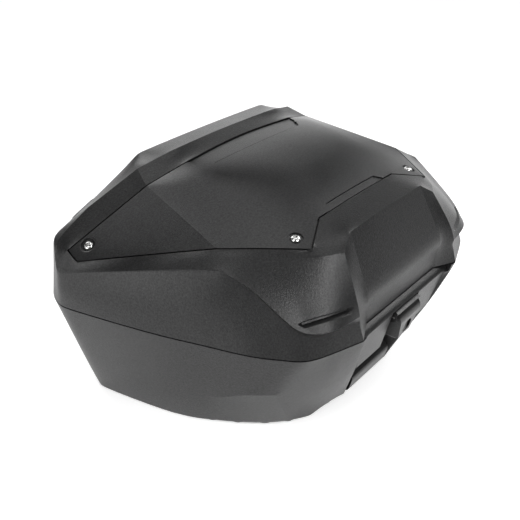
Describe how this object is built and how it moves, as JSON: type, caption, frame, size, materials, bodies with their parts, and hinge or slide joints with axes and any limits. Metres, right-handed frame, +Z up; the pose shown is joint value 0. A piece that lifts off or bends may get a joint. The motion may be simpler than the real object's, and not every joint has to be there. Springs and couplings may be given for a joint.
{
  "type": "motorcycle luggage case",
  "caption": "Hard motorcycle luggage case: tray base and domed lid hinged at the front, screwed cover panel, keyed rear latch and carrier release handle.",
  "frame": {"origin": "middle of the case's box, on the ground plane under the base", "axes": "+X to the right seen from behind, +Y towards the rider (hinge side), +Z up; the lock is on the -Y side"},
  "size_m": [0.5898, 0.412, 0.312],
  "materials": {
    "shell_plastic": "black moulded plastic with a fine leather-like grain, satin",
    "panel_plastic": "black moulded plastic, finer grain than the shell, satin",
    "trim_plastic": "black moulded plastic, smooth satin",
    "rubber": "matt black rubber",
    "bright_zinc": "bright zinc-plated steel",
    "steel": "pressed steel, dull plated"
  },
  "bodies": {
    "base": {"base_shell": "shell_plastic", "base_mat": "rubber", "rim_seal": "rubber", "hinge_base_leaf_left": "steel", "hinge_base_screw_left_1": "bright_zinc", "hinge_base_screw_left_2": "bright_zinc", "hinge_base_leaf_right": "steel", "hinge_base_screw_right_1": "bright_zinc", "hinge_base_screw_right_2": "bright_zinc", "hinge_pin_left": "bright_zinc", "hinge_pin_right": "bright_zinc", "latch_housing": "trim_plastic", "latch_lever_pin": "steel", "latch_hook_pin": "steel", "latch_hook_frame": "trim_plastic", "release_handle_pin": "steel"},
    "lid": {"lid_shell": "shell_plastic", "lid_cover_panel": "panel_plastic", "lid_front_cover": "shell_plastic", "cover_screw_rear_right": "bright_zinc", "cover_screw_rear_left": "bright_zinc", "cover_screw_wing_right": "bright_zinc", "cover_screw_wing_left": "bright_zinc", "hinge_lid_leaf_left": "steel", "hinge_lid_screw_left_1": "bright_zinc", "hinge_lid_screw_left_2": "bright_zinc", "hinge_lid_leaf_right": "steel", "hinge_lid_screw_right_1": "bright_zinc", "hinge_lid_screw_right_2": "bright_zinc", "lid_striker": "steel"},
    "lever": {"latch_lever": "trim_plastic", "lock_bezel": "steel"},
    "lock": {"lock_cylinder": "bright_zinc"},
    "hook": {"latch_hook": "steel"},
    "handle": {"release_handle": "trim_plastic"},
    "bolt": {"carrier_bolt": "steel"}
  },
  "joints": [
    {"name": "lid_hinge", "type": "hinge", "parent": "base", "child": "lid", "pos_m": [0, 0.201, 0.156], "axis": [-1, 0, 0], "range_deg": [0, 78]},
    {"name": "latch_lever_hinge", "type": "hinge", "parent": "base", "child": "lever", "pos_m": [0, -0.196, 0.137], "axis": [-1, 0, 0], "range_deg": [0, 30], "stiffness_Nm_per_rad": 0.1},
    {"name": "lock_turn", "type": "hinge", "parent": "lever", "child": "lock", "pos_m": [0, -0.1965, 0.112], "axis": [0, -0.9766, 0.2149], "range_deg": [0, 90]},
    {"name": "latch_hook_hinge", "type": "hinge", "parent": "base", "child": "hook", "pos_m": [0, -0.156, 0.122], "axis": [-1, 0, 0], "range_deg": [0, 20]},
    {"name": "release_handle_hinge", "type": "hinge", "parent": "base", "child": "handle", "pos_m": [0, -0.133, 0.033], "axis": [-1, 0, 0], "range_deg": [0, 28], "stiffness_Nm_per_rad": 0.2},
    {"name": "carrier_bolt_slide", "type": "slide", "parent": "base", "child": "bolt", "axis": [0, -1, 0], "range_m": [0, 0.005]}
  ],
  "couplings": [
    {"joint": "latch_hook_hinge", "follows": "latch_lever_hinge", "ratio": 0.6},
    {"joint": "carrier_bolt_slide", "follows": "release_handle_hinge", "m_per_rad": 0.01}
  ]
}
